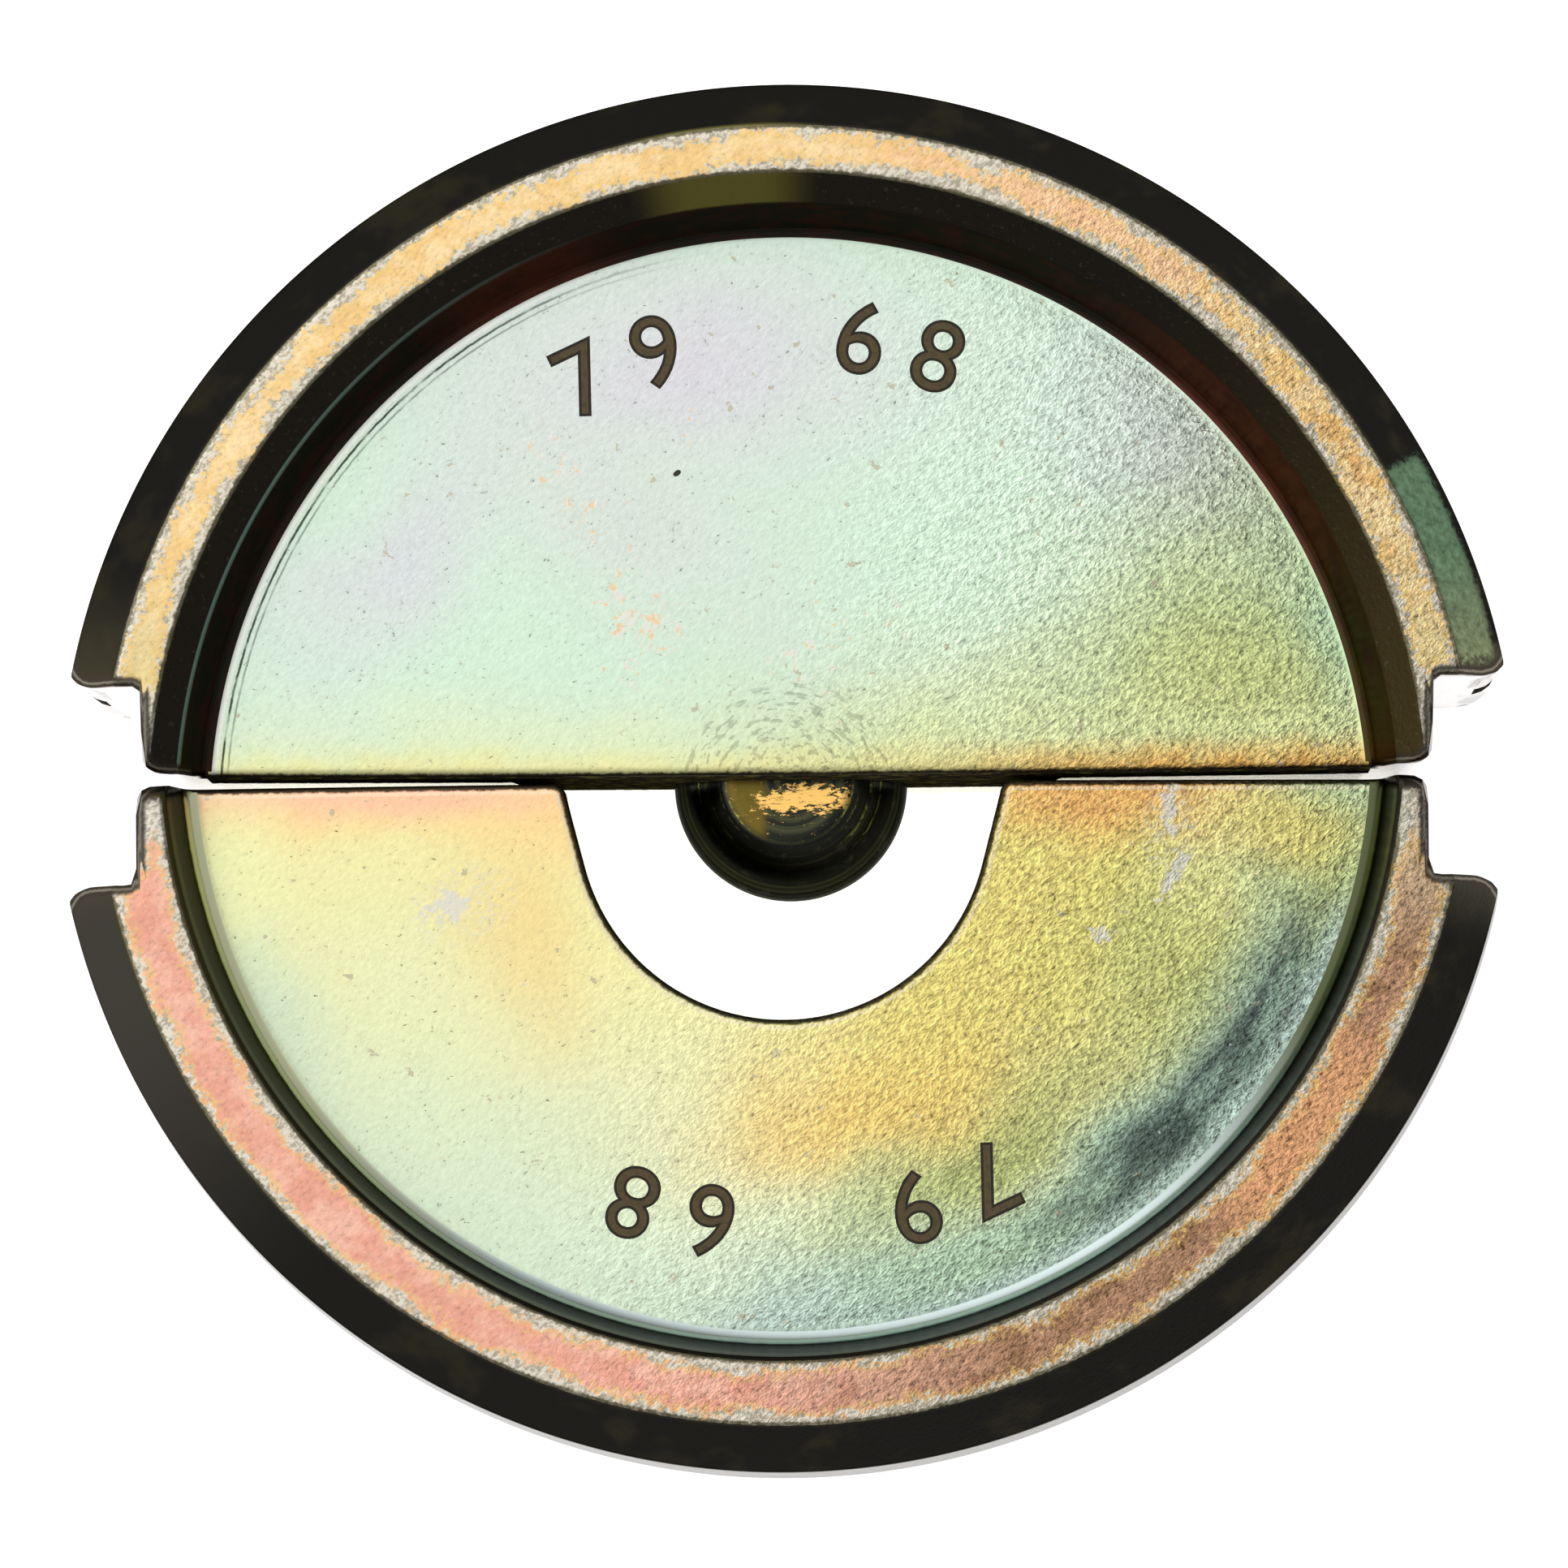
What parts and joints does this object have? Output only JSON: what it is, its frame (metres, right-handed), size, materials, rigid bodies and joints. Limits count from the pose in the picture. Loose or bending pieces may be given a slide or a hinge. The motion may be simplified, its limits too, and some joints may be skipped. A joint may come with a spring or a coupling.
{
  "type": "crimping die",
  "caption": "Matched pair of D-shaped crimping die halves with a round grooved seat, one with a ball indenter nose, the other with a trough that holds the terminal.",
  "frame": {"origin": "on the table under the middle of the parting line, with the pair lying on its rear lands", "axes": "+Z out of the front faces, +X along the parting line, +Y from the cradle half to the indenter half"},
  "size_m": [0.0373, 0.0362, 0.014],
  "materials": {
    "plated_steel": "worn yellow passivated plating over blasted and turned steel"
  },
  "bodies": {
    "root": {"indenter_die": "plated_steel", "cradle_die": "plated_steel"}
  },
  "joints": []
}
